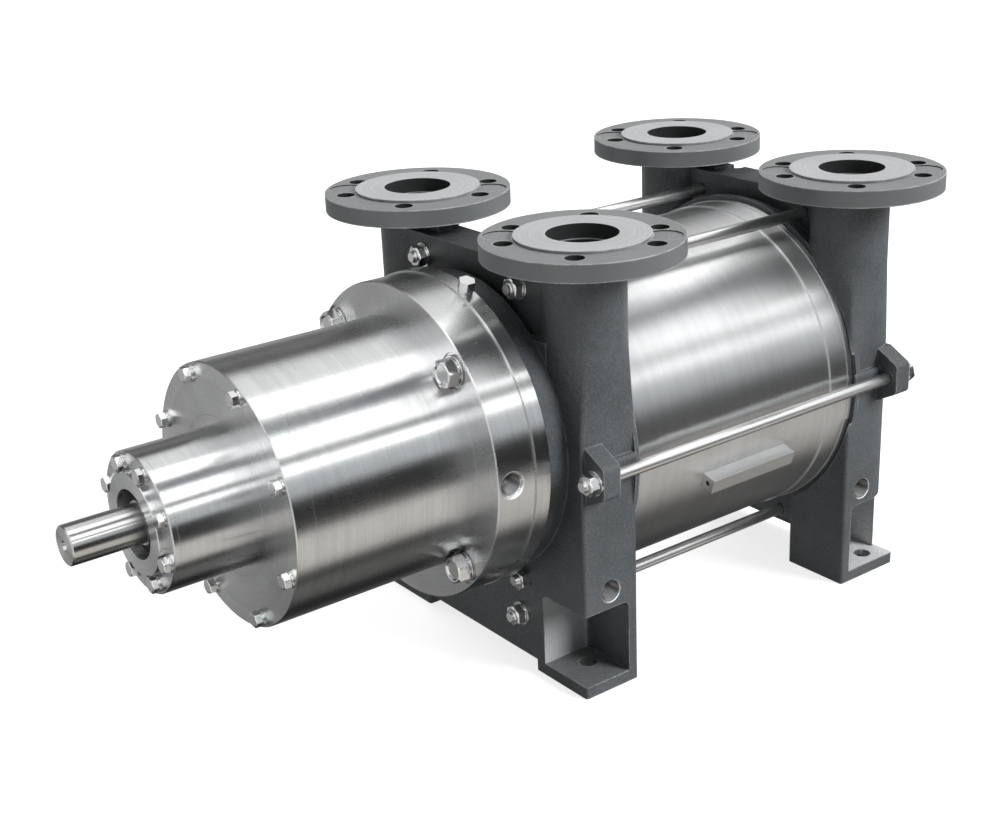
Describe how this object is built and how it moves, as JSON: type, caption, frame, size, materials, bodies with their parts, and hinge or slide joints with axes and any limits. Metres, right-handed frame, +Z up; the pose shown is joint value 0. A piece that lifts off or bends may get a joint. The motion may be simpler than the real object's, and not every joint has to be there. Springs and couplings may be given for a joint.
{
  "type": "liquid ring vacuum pump",
  "caption": "Horizontal liquid ring vacuum pump with a magnetic drive, twin cast heads with upright flanged nozzles, and a tie-rod clamped barrel.",
  "frame": {"origin": "on the plane of the feet's undersides, under the shaft, 182 mm from the drive-end foot bolts", "axes": "+X from the drive end to the rear end along the shaft, +Z up"},
  "size_m": [0.9015, 0.441, 0.441],
  "materials": {
    "cast_grey": "dark grey paint on rough castings",
    "stainless": "polished stainless with fine turning lines",
    "machined_steel": "bright turned steel",
    "fastener_steel": "bright stainless fasteners",
    "bearing_steel": "ground bearing steel",
    "bronze": "plain bearing bronze",
    "magnet": "plated magnets",
    "seal_rubber": "black seal rubber",
    "gasket": "pressed fibre gasket"
  },
  "bodies": {
    "casing": {"drive_end_head": "cast_grey", "rear_end_head": "cast_grey", "barrel": "stainless", "gauge_bar": "stainless", "drive_port_plate": "stainless", "rear_port_plate": "stainless", "drive_gasket": "gasket", "rear_gasket": "gasket", "drive_discharge_flap": "gasket", "rear_discharge_flap": "gasket", "drive_flap_guard": "stainless", "rear_flap_guard": "stainless", "tie_rods": "fastener_steel", "tie_rod_nuts": "fastener_steel", "tie_rod_washers": "fastener_steel", "chamber_studs": "fastener_steel", "adapter_ring": "stainless", "vent_plug": "fastener_steel", "coupling_lantern": "stainless", "lantern_bolts": "fastener_steel", "lantern_cover": "stainless", "lantern_cover_bolts": "fastener_steel", "bearing_carrier": "stainless", "carrier_screws": "fastener_steel", "bearing_cover": "stainless", "bearing_cover_screws": "fastener_steel", "lip_seal": "seal_rubber", "containment_shell": "stainless", "shell_screws": "fastener_steel", "drive_bush": "bronze", "rear_bush": "bronze", "rear_cover": "cast_grey", "rear_cover_bolts": "fastener_steel", "front_bearing_outer_ring": "bearing_steel", "back_bearing_outer_ring": "bearing_steel"},
    "drive_rotor": {"drive_shaft": "machined_steel", "front_bearing_inner_ring": "bearing_steel", "back_bearing_inner_ring": "bearing_steel", "shaft_lock_nut": "machined_steel", "outer_magnet_rotor": "machined_steel", "outer_magnets": "magnet"},
    "pump_rotor": {"pump_shaft": "machined_steel", "impeller": "stainless", "drive_shaft_sleeve": "bearing_steel", "rear_shaft_sleeve": "bearing_steel", "inner_magnet_rotor": "machined_steel", "inner_magnets": "magnet"},
    "front_bearing_cage_set": {"front_bearing_cage": "bronze", "front_bearing_balls": "bearing_steel"},
    "back_bearing_cage_set": {"back_bearing_cage": "bronze", "back_bearing_balls": "bearing_steel"}
  },
  "joints": [
    {"name": "drive_shaft_spin", "type": "hinge", "parent": "casing", "child": "drive_rotor", "pos_m": [-0.5, 0, 0.238], "axis": [1, 0, 0], "continuous": true},
    {"name": "impeller_spin", "type": "hinge", "parent": "casing", "child": "pump_rotor", "pos_m": [0, 0, 0.238], "axis": [1, 0, 0], "continuous": true},
    {"name": "front_cage_spin", "type": "hinge", "parent": "casing", "child": "front_bearing_cage_set", "pos_m": [-0.543, 0, 0.238], "axis": [1, 0, 0], "continuous": true},
    {"name": "back_cage_spin", "type": "hinge", "parent": "casing", "child": "back_bearing_cage_set", "pos_m": [-0.461, 0, 0.238], "axis": [1, 0, 0], "continuous": true}
  ],
  "couplings": [
    {"joint": "impeller_spin", "follows": "drive_shaft_spin", "ratio": 1},
    {"joint": "front_cage_spin", "follows": "drive_shaft_spin", "ratio": 0.4183},
    {"joint": "back_cage_spin", "follows": "drive_shaft_spin", "ratio": 0.4183}
  ]
}
